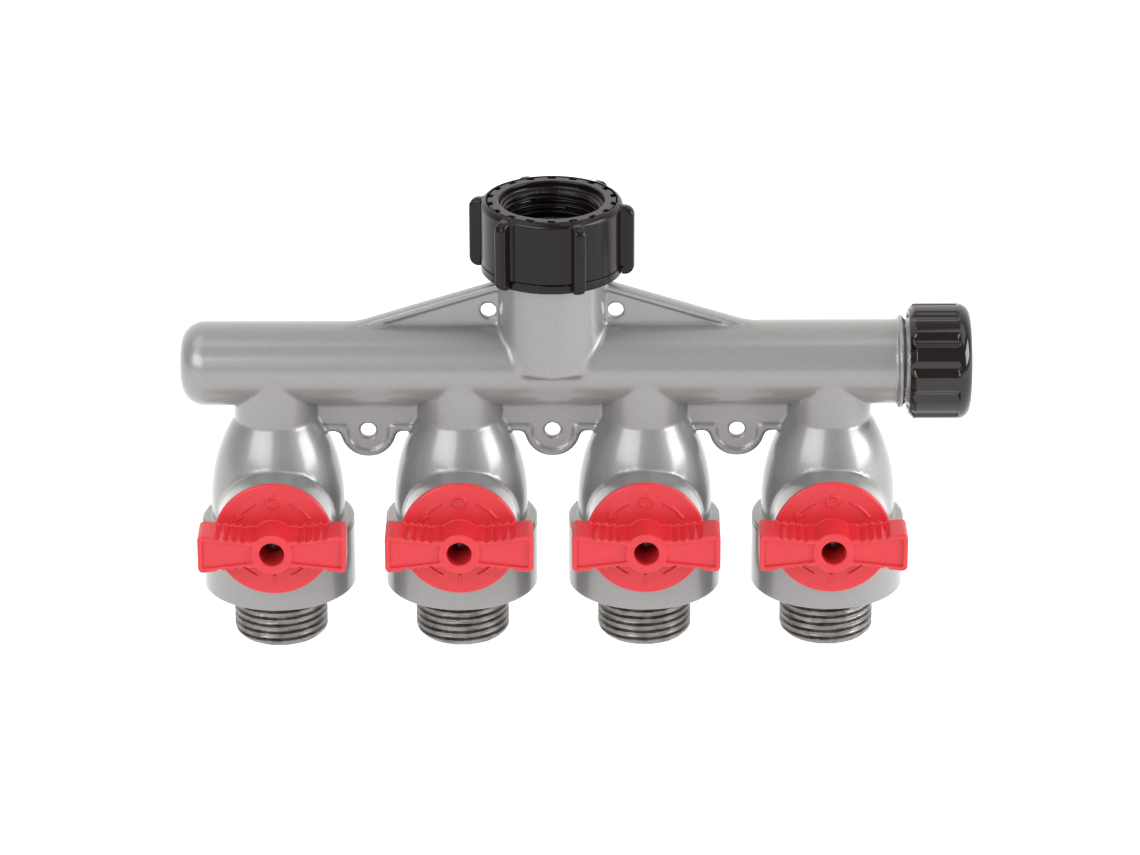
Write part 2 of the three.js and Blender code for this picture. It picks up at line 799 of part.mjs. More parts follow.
// ---------- End cap and its washer ----------
function capGeometry() {
  const corner = quarterArc(capRadius - capEndRadius, capEnd - capEndRadius, capEndRadius, Math.PI / 2, 4);
  const form = turnedAlongX([
    [0, capFloorInside],
    [threadWall, capFloorInside],
    [threadWall, capRim + overlap],
    [threadWall + 2 * clearance, capRim],
    [capRadius - capRimChamfer, capRim],
    [capRadius, capRim + capRimChamfer],
    ...corner.reverse(),
    [0, capEnd],
  ], bodySides);
  const start = portThreadStart + 0.5 * threadPitch;
  const turns = Math.floor((portEnd - endChamfer - start) / threadPitch);
  const ridge = threadRidge(threadWall, femaleCrest, start, turns, smallSides);
  const fluteEnd = capEnd - capEndRadius;
  const flutes = [];
  for (let i = 0; i < fluteCount; i += 1) {
    const flute = rod(fluteRadius, capRim - overlap, fluteEnd, fluteSides);
    flute.rotateY(Math.PI / 2);
    flute.translate(0, 0, capRadius + fluteRadius - fluteDepth);
    flutes.push(solid(flute.rotateX(flutePhase + (2 * Math.PI * i) / fluteCount)));
  }
  const body = join([solid(form), solid(ridge.rotateY(Math.PI / 2))]);
  return geometryOf(cut(body, flutes));
}

function capWasherGeometry() {
  const inner = portEnd + clearance;
  const outer = inner + capWasherThickness;
  const form = ring(tubeBore, threadWall - 2 * clearance, inner, outer, innerSides);
  return geometryOf(solid(form.rotateY(Math.PI / 2)));
}

// ---------- Assembly ----------
function piece(name, geometry, finish) {
  const mesh = new THREE.Mesh(geometry, finish);
  mesh.name = name;
  return mesh;
}

const splitter = new THREE.Group();
splitter.add(
  piece('manifold_body', castingGeometry(), silverPaint),
  piece('inlet_nut_thread_ring', nutRingGeometry(), blackPlastic),
  piece('inlet_nut_grip', nutGripGeometry(), blackPlastic),
  piece('nut_retaining_ring', retainerGeometry(), steel),
  piece('inlet_washer', inletWasherGeometry(), rubber),
  piece('end_cap', capGeometry(), blackGloss),
  piece('end_cap_washer', capWasherGeometry(), rubber),
);

// Pieces of one branch. The first list is placed by the tube's axis, the second by the valve's.
const branchPieces = [
  ['outlet_nipple', nippleGeometry(), turnedMetal],
  ['nipple_seal', nippleSealGeometry(), rubber],
];
const valvePieces = [
  ['ball', ballGeometry(), chrome],
  ['ball_seat_upper', seatGeometry(1), whiteSeat],
  ['ball_seat_lower', seatGeometry(-1), whiteSeat],
  ['stem', stemGeometry(), brass],
  ['stem_oring', stemSealGeometry(), rubber],
  ['handle', handleGeometry(), redPlastic],
  ['handle_screw', screwGeometry(), steel],
];
for (let i = 0; i < branchCount; i += 1) {
  const branch = new THREE.Group();
  const valve = new THREE.Group();
  branch.position.x = branchX(i);
  valve.position.z = valveLevel;
  for (const [name, geometry, finish] of branchPieces) {
    branch.add(piece(`${name}_${i + 1}`, geometry, finish));
  }
  for (const [name, geometry, finish] of valvePieces) {
    valve.add(piece(`${name}_${i + 1}`, geometry, finish));
  }
  branch.add(valve);
  splitter.add(branch);
}

// The origin is the middle of the model's box, on the plane that the outlets stand on.
splitter.updateMatrixWorld(true);
const box = new THREE.Box3().setFromObject(splitter, true);
const middle = box.getCenter(new THREE.Vector3());
splitter.position.set(-middle.x, -middle.y, -box.min.z);

const group = new THREE.Group();
group.add(splitter);

export default group;
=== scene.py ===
"""The four-way hose splitter's looks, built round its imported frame.

Shapes are written in millimetres about the main tube's axis: X along the tube from the inlet's
axis, Y to the back, Z up. Each is a distance field, negative inside, and skin() turns it into a
mesh. The frame's joints say where that system sits in the row frame, which is in metres.
"""
import json
import math

import bpy
import numpy as np
from mathutils import Matrix, Vector


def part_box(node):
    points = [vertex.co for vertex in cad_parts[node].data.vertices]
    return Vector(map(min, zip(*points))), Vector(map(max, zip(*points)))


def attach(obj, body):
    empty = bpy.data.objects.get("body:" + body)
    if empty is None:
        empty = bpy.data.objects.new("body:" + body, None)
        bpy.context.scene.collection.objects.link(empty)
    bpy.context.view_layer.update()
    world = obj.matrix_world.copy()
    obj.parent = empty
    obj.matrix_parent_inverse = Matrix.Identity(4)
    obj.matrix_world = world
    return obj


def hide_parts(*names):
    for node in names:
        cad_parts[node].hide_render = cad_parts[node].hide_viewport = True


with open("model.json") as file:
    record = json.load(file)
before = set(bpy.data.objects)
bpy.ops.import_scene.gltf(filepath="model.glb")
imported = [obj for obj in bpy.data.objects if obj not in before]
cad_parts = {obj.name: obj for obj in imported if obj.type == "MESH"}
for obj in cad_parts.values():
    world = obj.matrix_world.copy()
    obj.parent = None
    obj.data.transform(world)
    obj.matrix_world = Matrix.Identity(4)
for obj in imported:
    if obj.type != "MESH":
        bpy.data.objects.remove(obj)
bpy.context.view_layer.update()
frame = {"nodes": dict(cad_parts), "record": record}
joints = {joint["name"]: joint for joint in frame["record"]["behaviour"]["joints"]}

MM = 0.001
BRANCHES = 4

# ---------- Places, from the frame ----------
inlet_x, inlet_y, _ = joints["inlet_nut_swivel"]["pos_m"]
tube_z = joints["end_cap_unscrew"]["pos_m"][2]
ORIGIN = np.array([inlet_x, inlet_y, tube_z])
handle_places = [np.array(joints[f"handle_{i + 1}_turn"]["pos_m"]) for i in range(BRANCHES)]
branch_x = [(place[0] - inlet_x) / MM for place in handle_places]
PITCH = branch_x[1] - branch_x[0]
VALVE = (handle_places[0][2] - tube_z) / MM


def node_span(node, axis):
    """Lowest and highest coordinate of a CAD node along one axis, in the shapes' millimetres."""
    low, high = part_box(node)
    return (low[axis] - ORIGIN[axis]) / MM, (high[axis] - ORIGIN[axis]) / MM


TUBE_LEFT, PORT_END = node_span("manifold_body", 0)
CAP_RIM, CAP_END = node_span("end_cap", 0)
NUT_BOTTOM, NUT_TOP = node_span("inlet_nut_grip", 2)
OUTLET_END, COLLAR_TOP = node_span("outlet_nipple_1", 2)
CASTING_SKIRT, SPIGOT_TOP = node_span("manifold_body", 2)
LEVER_FRONT = -node_span("handle_1", 1)[0]
HANDLE_BACK = -node_span("handle_1", 1)[1]
SCREW_FRONT = -node_span("handle_screw_1", 1)[0]

# ---------- Sizes that the frame doesn't give, in millimetres ----------
THREAD_PITCH = 25.4 / 11.5
THREAD_CREST = 13.45
THREAD_ROOT = 12.15
THREAD_WALL = 13.75
FEMALE_CREST = 12.75
TURNED_FIT = 0.3  # the gap between turned pieces that fit together

TUBE_RADIUS = 12.1
TUBE_BORE = 9.3
TUBE_CORNER = 6.9
TUBE_END_WALL = 6
PORT_LENGTH = 14
PORT_CHAMFER = 1.3
BEAD_RIGHT = PORT_END - PORT_LENGTH
BEAD_WIDTH = 1.6
BEAD_HEIGHT = 1.2

INLET_RADIUS = 15.05
INLET_FOOT = 0.2
INLET_SHOULDER = 28.3
INLET_BORE = 8.8
SPIGOT_RADIUS = 11

WEB = 2.4
GUSSET_REACH = 57.8
GUSSET_TAIL = 2
GUSSET_TOP = 24.8
GUSSET_BOTTOM = 11.5
GUSSET_RIM_WIDTH = 4.3
GUSSET_RIM_HEIGHT = 2
GUSSET_HOLE_X = 18.05
GUSSET_HOLE_Z = 16.3
HANG_HOLE = 2.2

EAR_Z = -20.6
EAR_RADIUS = 7.75
EAR_RIM = 1.9
EAR_RIM_WIDTH = 3.8
EAR_RIM_REACH = 4
EAR_CORNER = 2.2
EAR_WEB_TOP = -6

NECK_RADIUS = 11.85
NECK_BORE = 9
BULB_RADIUS = 19.2
BULB_Z = -42
BULB_CURVE = 49.4
BULB_LIMIT = 45  # the curve is followed this far from its middle
CHAMBER_RADIUS = 14
CHAMBER_HALF = 13.7
CHAMBER_TOP = VALVE + CHAMBER_HALF
CASTING_BOTTOM = COLLAR_TOP + TURNED_FIT
FLANGE_HEIGHT = 1.3
FLANGE_TOP = CASTING_BOTTOM + FLANGE_HEIGHT
COLLAR_RADIUS = 21.9
SKIRT_RADIUS = 18
BOSS_RADIUS = 16.5
BOSS_FACE = 25.1

OUTLET_LENGTH = 15.5
OUTLET_CHAMFER = 1.1
COLLAR_BOTTOM = OUTLET_END + OUTLET_LENGTH
PAINT_END = COLLAR_BOTTOM - 0.15
WATERWAY = 8.5
RECESS_BOTTOM = VALVE - CHAMBER_HALF
SEAL_STEP = -56.2

DISC_RADIUS = 17.05
DISC_BACK = 25.4
DISC_FRONT = 27
LEVER_ROOT = DISC_BACK + 0.6
LEVER_HALF = 20.9
LEVER_END_HALF = 5.8
LEVER_WAIST_HALF = 4.05
LEVER_RIM = 1.4
LEVER_CORNER = 1.6
PANEL_DEPTH = 0.7
HUB_RADIUS = 5.95
HUB_RIM = 4.6
HUB_FLARE = 1.4
HUB_HOLE = 3.5
HUB_FLOOR = 26
LEVER_SLOPE = (LEVER_END_HALF - LEVER_WAIST_HALF) / (LEVER_HALF - HUB_RADIUS)
SOCKET_RADIUS = 4.6
SOCKET_HALF = 2.5
SOCKET_ROOF = 1.5
SCREW_HOLE = 1.5

GROOVE_FIRST = 7.9
GROOVE_LAST = 14.65
GROOVE_PITCH = 2.25
GROOVE_RADIUS = 1
GROOVE_OFFSET = 0.35

MARK_HEIGHT = 0.45
RING_Z = 11.6
RING_RADIUS = 1.6
RING_HALF_WIDTH = 0.32
BAR_Z = -12.6
BAR_HALF_HEIGHT = 1.6
BAR_HALF_WIDTH = 0.35
ARC_RADIUS = 12.2
ARC_HALF_WIDTH = 0.3
ARC_START = 24  # degrees from the top, and from the bottom
ARC_END = 58
ARC_DEGREE = 0.2  # about the length of one degree along the arc
ARROW_TIP = (-10.1, 6.6)
ARROW_DIRECTION = (-0.52, -0.85)
ARROW_FLARE = 0.55
ARROW_LENGTH = 1.3

SCREW_RADIUS = 3.1
SCREW_HEAD = 1.8
SCREW_DOME = 5
SCREW_SHANK = 1.2
SCREW_LENGTH = 9.3
CROSS_REACH = 1.7
CROSS_HALF_WIDTH = 0.42
CROSS_DEPTH = 1.1

NUT_RING = 18.2
NUT_RING_DROP = 0.2
NUT_MOUTH = 14.9
NUT_MOUTH_DEPTH = 2.4
NUT_FOOT = 2.7
NUT_FLOOR = 3.2
SEAM_GAP = 0.06
SEAM = NUT_BOTTOM + NUT_FOOT + SEAM_GAP
GRIP_INNER = 18.5
GRIP_OUTER = 20.1
GRIP_SHOULDER = 1.9
FOOT_RELIEF = 0.1
LUG_REACH = 3.5
LUG_HALF = 1.8
LUG_DROP = 0.7
LUG_CORNER = 2.7
LUG_EDGE = 1.2
LUGS = 6
LUG_PHASE = math.radians(-9.5)
NOTCHES = 18
NOTCH_HALF = 1.05
NOTCH_INNER = 16.9
NOTCH_OUTER = 18
NOTCH_DEPTH = 1.3

CAP_RADIUS = 16.45
CAP_CORNER = 3.5
CAP_BEVEL = 1.6
CAP_WALL = 2.5
CAP_FLOOR = CAP_END - CAP_WALL
FLUTES = 12
FLUTE_RADIUS = 2.9
FLUTE_DEPTH = 0.8
FLUTE_STOP = 3.6
FLUTE_PHASE = math.radians(16)

# ---------- Camera ----------
CAMERA_LENS = 159.4
CAMERA_DISTANCE = 1.447
CAMERA_ELEVATION = math.radians(23.318)
CAMERA_ROLL = math.radians(-0.17)
CAMERA_AIM = ORIGIN + MM * np.array([4.97, 0, -20.33])
CAMERA_REACH = 20


def add_camera():
    data = bpy.data.cameras.new("camera")
    data.lens = CAMERA_LENS
    data.clip_end = CAMERA_REACH
    camera = bpy.data.objects.new("camera", data)
    back = np.array([0, -math.cos(CAMERA_ELEVATION), math.sin(CAMERA_ELEVATION)])
    tilt = Matrix.Rotation(math.pi / 2 - CAMERA_ELEVATION, 4, "X")
    roll = Matrix.Rotation(CAMERA_ROLL, 4, "Z")
    place = Matrix.Translation(CAMERA_AIM + CAMERA_DISTANCE * back)
    camera.matrix_world = place @ tilt @ roll
    bpy.context.scene.collection.objects.link(camera)
    bpy.context.scene.camera = camera


# ---------- Distance fields ----------
CLEAR = 5  # how far a cutting shape runs on past the face it opens
OVERLAP = 1  # how far a shape runs into the one it joins
CONE_SCALE = 0.7  # brings the field of a 45 degree cone near to a distance
THREAD_SCALE = 0.8  # the same for the flanks of a thread
THREAD_FLANK = 2.1
THREAD_FADE = 0.6
VALLEY_DEPTH = 0.14
VALLEY_FLANK = 3.2


def fuse(a, b, fillet):
    """Both bodies, with a fillet where they meet."""
    near = np.maximum(fillet - np.abs(a - b), 0) / fillet
    return np.minimum(a, b) - near * near * fillet / 4


def carve(body, tool, fillet):
    """The body without the tool, with its new edges rounded."""
    return -fuse(-body, tool, fillet)


def rounded(across, along, edge):
    """Where two distances are both negative, with a rounded edge where they meet."""
    a = across + edge
    b = along + edge
    outside = np.sqrt(np.maximum(a, 0) ** 2 + np.maximum(b, 0) ** 2)
    return outside + np.minimum(np.maximum(a, b), 0) - edge


def between(value, low, high):
    return np.abs(value - (low + high) / 2) - (high - low) / 2


def disc(radial, along, radius, low, high, edge):
    return rounded(radial - radius, between(along, low, high), edge)


def thread_height(along, angle, start, end):
    """Height of a right-hand thread above its root, from 0 to 1, fading in and out at its ends.
    The crest has a shallow valley along its middle."""
    turn = along / THREAD_PITCH - angle / (2 * math.pi)
    from_crest = np.abs(turn - np.round(turn)) * 2
    ridge = np.clip(THREAD_FLANK - THREAD_FLANK * from_crest, 0, 1)
    valley = VALLEY_DEPTH * np.clip(1 - VALLEY_FLANK * from_crest, 0, 1)
    from_end = np.minimum(along - start, end - along)
    fade = np.clip(from_end / (THREAD_FADE * THREAD_PITCH), 0, 1)
    return (ridge - valley) * fade


def male_thread(radial, height):
    """A rod with a thread of that height round it."""
    return (radial - THREAD_ROOT - (THREAD_CREST - THREAD_ROOT) * height) * THREAD_SCALE


def female_thread(radial, height):
    """The hollow that takes such a rod."""
    return (radial - THREAD_WALL + (THREAD_WALL - FEMALE_CREST) * height) * THREAD_SCALE


def to_sector(angle, count):
    """The angle from the middle of the nearest of some even sectors."""
    spacing = 2 * math.pi / count
    return (angle / spacing - np.round(angle / spacing)) * spacing


# ---------- From field to mesh ----------
PROBE = 0.02
MOVES = 3
LONGEST_MOVE = 0.3
LEAST_SLOPE_SQUARED = 0.2


def spaced(low, high, step, fine_step=None, fine=()):
    """Grid coordinates from low to high, closer together inside the fine ranges. Starts and steps
    are chosen so that no coordinate falls on a flat face, where the skin would come out rough."""
    values = [low]
    while values[-1] < high:
        here = values[-1]
        is_fine = any(a <= here < b for a, b in fine)
        values.append(here + (fine_step if is_fine else step))
    return np.array(values)


def gradient(field, p):
    parts = []
    for axis in range(3):
        shift = np.zeros(3)
        shift[axis] = PROBE
        ahead = field(*(p + shift).T)
        behind = field(*(p - shift).T)
        parts.append((ahead - behind) / (2 * PROBE))
    return np.stack(parts, axis=1)


def skin(field, axes):
    """Vertices, quads and normals of the surface where the field is zero: one vertex in each grid
    cell that the surface crosses, moved onto the surface itself."""
    grid = field(axes[0][:, None, None], axes[1][None, :, None], axes[2][None, None, :])
    grid = np.broadcast_to(grid, [len(a) for a in axes])
    cells = np.array(grid.shape) - 1
    sums = np.zeros((3, cells.prod()))
    hits = np.zeros(cells.prod())
    quads = []
    for axis in range(3):
        low = np.take(grid, range(cells[axis]), axis)
        high = np.take(grid, range(1, cells[axis] + 1), axis)
        index = np.array(np.nonzero((low < 0) != (high < 0)))
        a = low[tuple(index)]
        b = high[tuple(index)]
        point = np.array([axes[n][index[n]] for n in range(3)], dtype=float)
        step = axes[axis][index[axis] + 1] - axes[axis][index[axis]]
        point[axis] += step * a / (a - b)
        u, v = (axis + 1) % 3, (axis + 2) % 3
        ring = []
        for du, dv in ((-1, -1), (0, -1), (0, 0), (-1, 0)):
            cell = index.copy()
            cell[u] += du
            cell[v] += dv
            flat = np.ravel_multi_index(cell, cells)
            hits += np.bincount(flat, minlength=len(hits))
            for n in range(3):
                sums[n] += np.bincount(flat, point[n], minlength=len(hits))
            ring.append(flat)
        faces = np.stack(ring, axis=1)
        faces[a > 0] = faces[a > 0][:, ::-1]
        quads.append(faces)
    used = np.nonzero(hits)[0]
    number = np.zeros(len(hits), dtype=np.int64)
    number[used] = np.arange(len(used))
    points = (sums[:, used] / hits[used]).T
    for _ in range(MOVES):
        slope = gradient(field, points)
        size = np.maximum((slope**2).sum(axis=1), LEAST_SLOPE_SQUARED)
        step = field(*points.T) / size
        points -= np.clip(step, -LONGEST_MOVE, LONGEST_MOVE)[:, None] * slope
    normals = gradient(field, points)
    normals /= np.maximum(np.linalg.norm(normals, axis=1), 1e-9)[:, None]
    return points, number[np.concatenate(quads)], normals


def mesh_object(name, points, quads, normals, material):
    """A mesh object from points in the row frame, in metres."""
    mesh = bpy.data.meshes.new(name)
    mesh.vertices.add(len(points))
    mesh.vertices.foreach_set("co", points.ravel())
    mesh.loops.add(quads.size)
    mesh.loops.foreach_set("vertex_index", quads.ravel().astype(np.int32))
    mesh.polygons.add(len(quads))
    mesh.polygons.foreach_set("loop_start", np.arange(0, quads.size, 4, dtype=np.int32))
    mesh.update(calc_edges=True)
    mesh.validate()
    mesh.shade_smooth()
    mesh.normals_split_custom_set_from_vertices(normals)
    mesh.materials.append(material)
    piece = bpy.data.objects.new(name, mesh)
    bpy.context.scene.collection.objects.link(piece)
    return piece


def in_row_frame(points, shift_x=0.0):
    return ORIGIN + MM * (points + np.array([shift_x, 0, 0]))


# ---------- Manifold casting ----------
BULB_EDGE = 0.1
NECK_FILLET = 0.35
BOSS_EDGE = 0.7
BOSS_CUT_EDGE = 0.5
BOSS_FILLET = 0.7
FLANGE_EDGE = 0.5
FLANGE_FILLET = 0.9
SKIRT_EDGE = 0.2
WEB_EDGE = 0.3
WEB_FILLET = 0.8
WEB_ROOT_FILLET = 1.2
EAR_RIM_EDGE = 0.6
GUSSET_RIM_EDGE = 0.7
HOLE_EDGE = 0.7
BRANCH_FILLET = 0.3
INLET_CORNER = 1.6
INLET_FILLET = 1.3
BEAD_EDGE = 0.6
BEAD_FILLET = 0.7
SPIGOT_EDGE = 0.3
BORE_EDGE = 1
CHAMBER_EDGE = 0.5
POCKET_EDGE = 0.2
MOUTH_EDGE = 0.4


def to_nearest(x, places):
    """x measured from the nearest of some evenly spaced places."""
    first, last = places[0], places[-1]
    index = np.clip(np.round((x - first) / PITCH), 0, round((last - first) / PITCH))
    return x - first - index * PITCH


def bulb_side(radial, z):
    level = np.clip(z - BULB_Z, -BULB_LIMIT, BULB_LIMIT)
    root = np.sqrt(BULB_CURVE**2 - level**2)
    slope = level / root
    return (radial - (BULB_RADIUS - BULB_CURVE + root)) / np.sqrt(1 + slope**2)


def branch_field(x, y, z):
    radial = np.sqrt(x * x + y * y)
    forward = np.sqrt(x * x + (z - VALVE) ** 2)
    neck = np.maximum(radial - NECK_RADIUS, z)
    bulb = rounded(bulb_side(radial, z), CASTING_BOTTOM - z, BULB_EDGE)
    body = fuse(neck, bulb, NECK_FILLET)
    boss = disc(forward, -y, BOSS_RADIUS, 0, BOSS_FACE, BOSS_EDGE)
    boss = rounded(boss, CASTING_BOTTOM - z, BOSS_CUT_EDGE)
    body = fuse(body, boss, BOSS_FILLET)
    flange = disc(radial, z, COLLAR_RADIUS, CASTING_BOTTOM, FLANGE_TOP, FLANGE_EDGE)
    body = fuse(body, flange, FLANGE_FILLET)
    skirt = disc(radial, z, SKIRT_RADIUS, CASTING_SKIRT, FLANGE_TOP, SKIRT_EDGE)
    return np.minimum(body, skirt)


def ear_field(x, y, z):
    """The web between two branches, its hanging ear and the rim round their lower edge."""
    from_hole = np.sqrt(x * x + (z - EAR_Z) ** 2)
    outline = fuse(from_hole - EAR_RADIUS, EAR_Z - z, EAR_CORNER)
    outline = np.maximum(outline, np.maximum(z - EAR_WEB_TOP, np.abs(x) - PITCH / 2))
    web = rounded(outline, np.abs(y) - WEB / 2, WEB_EDGE)
    strip = np.abs(outline + EAR_RIM / 2) - EAR_RIM / 2
    rim = rounded(strip, np.abs(y) - EAR_RIM_WIDTH / 2, EAR_RIM_EDGE)
    rim = np.maximum(rim, z - EAR_Z - EAR_RIM_REACH)
    body = fuse(web, rim, WEB_FILLET)
    return carve(body, from_hole - HANG_HOLE, HOLE_EDGE)


def gusset_field(x, y, z):
    """The webs beside the inlet neck, each with a rim on its sloping top and a hanging hole."""
    side = np.abs(x)
    slope = (GUSSET_TOP - GUSSET_BOTTOM) / (GUSSET_REACH - INLET_RADIUS)
    below = (z - GUSSET_TOP + slope * (side - INLET_RADIUS)) / math.hypot(1, slope)
    ends = np.maximum(side - GUSSET_REACH - GUSSET_TAIL, -z)
    outline = np.maximum(below, ends)
    web = rounded(outline, np.abs(y) - WEB / 2, WEB_EDGE)
    top = np.maximum(between(below, -GUSSET_RIM_HEIGHT, 0), ends)
    rim = rounded(top, np.abs(y) - GUSSET_RIM_WIDTH / 2, GUSSET_RIM_EDGE)
    body = fuse(web, rim, WEB_FILLET)
    from_hole = np.sqrt((side - GUSSET_HOLE_X) ** 2 + (z - GUSSET_HOLE_Z) ** 2)
    return carve(body, from_hole - HANG_HOLE, HOLE_EDGE)


def port_thread(radial, x, y, z):
    angle = np.arctan2(y, -z)
    height = thread_height(x, angle, BEAD_RIGHT + 1.2, PORT_END - 0.4)
    ends = between(x, BEAD_RIGHT - OVERLAP, PORT_END)
    chamfer = (radial - THREAD_CREST + x - PORT_END + PORT_CHAMFER) * CONE_SCALE
    return np.maximum(np.maximum(male_thread(radial, height), ends), chamfer)


def casting_field(x, y, z):
    from_tube = np.sqrt(y * y + z * z)
    from_inlet = np.sqrt(x * x + y * y)
    at_branch = to_nearest(x, branch_x)
    tube = disc(from_tube, x, TUBE_RADIUS, TUBE_LEFT, BEAD_RIGHT + 4 * CLEAR, TUBE_CORNER)
    tube = np.maximum(tube, x - BEAD_RIGHT)
    body = fuse(tube, branch_field(at_branch, y, z), BRANCH_FILLET)
    ears = [x + PITCH / 2 for x in branch_x[:-1]]
    body = fuse(body, ear_field(to_nearest(x, ears), y, z), WEB_ROOT_FILLET)
    shoulder = INLET_SHOULDER + OVERLAP
    inlet = disc(from_inlet, z, INLET_RADIUS, INLET_FOOT, shoulder, INLET_CORNER)
    inlet = np.maximum(inlet, z - INLET_SHOULDER)
    body = fuse(body, inlet, INLET_FILLET)
    body = fuse(body, gusset_field(x, y, z), WEB_ROOT_FILLET)
    bead_radius = TUBE_RADIUS + BEAD_HEIGHT
    bead = disc(from_tube, x, bead_radius, BEAD_RIGHT - BEAD_WIDTH, BEAD_RIGHT, BEAD_EDGE)
    body = fuse(body, bead, BEAD_FILLET)
    body = np.minimum(body, port_thread(from_tube, x, y, z))
    body = np.minimum(body, disc(from_inlet, z, SPIGOT_RADIUS, 0, SPIGOT_TOP, SPIGOT_EDGE))
    main = disc(from_tube, x, TUBE_BORE, TUBE_LEFT + TUBE_END_WALL, PORT_END + CLEAR, BORE_EDGE)
    supply = disc(from_inlet, z, INLET_BORE, 0, SPIGOT_TOP + CLEAR, BORE_EDGE)
    from_branch = np.sqrt(at_branch**2 + y * y)
    neck = disc(from_branch, z, NECK_BORE, CHAMBER_TOP - CLEAR, 0, BORE_EDGE)
    chamber = disc(
        from_branch, z, CHAMBER_RADIUS, CASTING_SKIRT - CLEAR, CHAMBER_TOP, CHAMBER_EDGE
    )
    forward = np.sqrt(at_branch**2 + (z - VALVE) ** 2)
    pocket_radius = SOCKET_RADIUS + TURNED_FIT
    pocket_floor = HANDLE_BACK - TURNED_FIT
    pocket = disc(forward, -y, pocket_radius, pocket_floor, BOSS_FACE + CLEAR, POCKET_EDGE)
    hollow = main
    for other in (supply, neck, chamber, pocket):
        hollow = np.minimum(hollow, other)
    return carve(body, hollow, MOUTH_EDGE)


def add_casting(material):
    """Its grid is finer at the ears, the webs, the inlet, the bead, the flanges and the bosses."""
    ear_reach = 9
    inlet_reach = 21
    bead_reach = 3
    ears = [x + PITCH / 2 for x in branch_x[:-1]]
    fine_x = [(x - ear_reach, x + ear_reach) for x in ears]
    fine_x += [(-inlet_reach, inlet_reach), (BEAD_RIGHT - bead_reach, BEAD_RIGHT + bead_reach)]
    fine_y = [(-26, -24), (-13, -9), (-3, 3)]
    fine_z = [(CASTING_BOTTOM - 0.6, FLANGE_TOP + 1), (-29, 30)]
    axes = [
        spaced(TUBE_LEFT - 2, PORT_END + 2, 1.4, 0.7, fine_x),
        spaced(-BOSS_FACE - 1.5, COLLAR_RADIUS + 2, 1.7, 0.7, fine_y),
        spaced(CASTING_SKIRT - 2, SPIGOT_TOP + 2, 1.5, 0.7, fine_z),
    ]
    points, quads, normals = skin(casting_field, axes)
    piece = mesh_object("casting", in_row_frame(points), quads, normals, material)
    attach(piece, "manifold")
    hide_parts("manifold_body")


# ---------- Outlet nipples ----------
COLLAR_EDGE = 0.6
COLLAR_FILLET = 0.5
RECESS_EDGE = 0.3
NIPPLE_MOUTH_EDGE = 0.5


def nipple_field(x, y, z):
    radial = np.sqrt(x * x + y * y)
    angle = np.arctan2(y, x)
    collar = disc(radial, z, COLLAR_RADIUS, COLLAR_BOTTOM, COLLAR_TOP, COLLAR_EDGE)
    height = thread_height(z, angle, OUTLET_END + 0.2, COLLAR_BOTTOM - 0.5)
    ends = between(z, OUTLET_END, COLLAR_BOTTOM + 2 * OVERLAP)
    chamfer = (radial - THREAD_CREST + OUTLET_END + OUTLET_CHAMFER - z) * CONE_SCALE
    outlet = np.maximum(np.maximum(male_thread(radial, height), ends), chamfer)
    body = fuse(collar, outlet, COLLAR_FILLET)
    above = COLLAR_TOP + CLEAR
    recess = disc(radial, z, SKIRT_RADIUS + TURNED_FIT, SEAL_STEP, above, RECESS_EDGE)
    seat = disc(radial, z, CHAMBER_RADIUS, RECESS_BOTTOM, above, RECESS_EDGE)
    bore = disc(radial, z, WATERWAY, OUTLET_END - CLEAR, COLLAR_TOP, RECESS_EDGE)
    hollow = np.minimum(np.minimum(recess, seat), bore)
    return carve(body, hollow, NIPPLE_MOUTH_EDGE)


def add_nipples(painted, bare):
    reach = COLLAR_RADIUS + 1
    across = spaced(-reach, reach, 0.62)
    thread = [(OUTLET_END - 1, COLLAR_BOTTOM + 1)]
    up = spaced(OUTLET_END - 1.05, COLLAR_TOP + 1, 0.6, 0.3, thread)
    points, quads, normals = skin(nipple_field, [across, across, up])
    for i, x in enumerate(branch_x):
        piece = mesh_object(f"outlet_{i + 1}", in_row_frame(points, x), quads, normals, painted)
        piece.data.materials.append(bare)
        centres = points[quads].mean(axis=1)
        is_bare = centres[:, 2] < PAINT_END
        piece.data.polygons.foreach_set("material_index", is_bare.astype(np.int32))
        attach(piece, "manifold")
        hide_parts(f"outlet_nipple_{i + 1}")


# ---------- Handles and their screws ----------
DISC_EDGE = 0.75
LEVER_EDGE = 0.5
LEVER_FILLET = 0.6
GROOVE_EDGE = 0.35
HUB_EDGE = 0.3
HUB_FILLET = 0.4
PANEL_EDGE = 0.3
BAR_CORNER = 0.2
MARK_EDGE = 0.12
MARK_FILLET = 0.25
SOCKET_EDGE = 0.2
SOCKET_FILLET = 0.4
HUB_FLOOR_EDGE = 0.2
SCREW_HOLE_EDGE = 0.1
HUB_MOUTH_EDGE = 0.45
SCREW_EDGE = 0.2
CROSS_EDGE = 0.15


def lever_half_height(side):
    """Half the lever's height at a distance from the valve's axis."""
    return LEVER_WAIST_HALF + LEVER_SLOPE * (side - HUB_RADIUS)


def lever_outline(x, z):
    side = np.abs(x)
    above = (np.abs(z) - lever_half_height(side)) / math.hypot(1, LEVER_SLOPE)
    return rounded(side - LEVER_HALF, above, LEVER_CORNER)


def grip_grooves(x, z):
    """Round grooves across the lever's upper and lower sides."""
    side = np.abs(x)
    last = round((GROOVE_LAST - GROOVE_FIRST) / GROOVE_PITCH)
    index = np.clip(np.round((side - GROOVE_FIRST) / GROOVE_PITCH), 0, last)
    at = GROOVE_FIRST + index * GROOVE_PITCH
    above = np.abs(z) - lever_half_height(at) - GROOVE_OFFSET
    return np.sqrt((side - at) ** 2 + above**2) - GROOVE_RADIUS


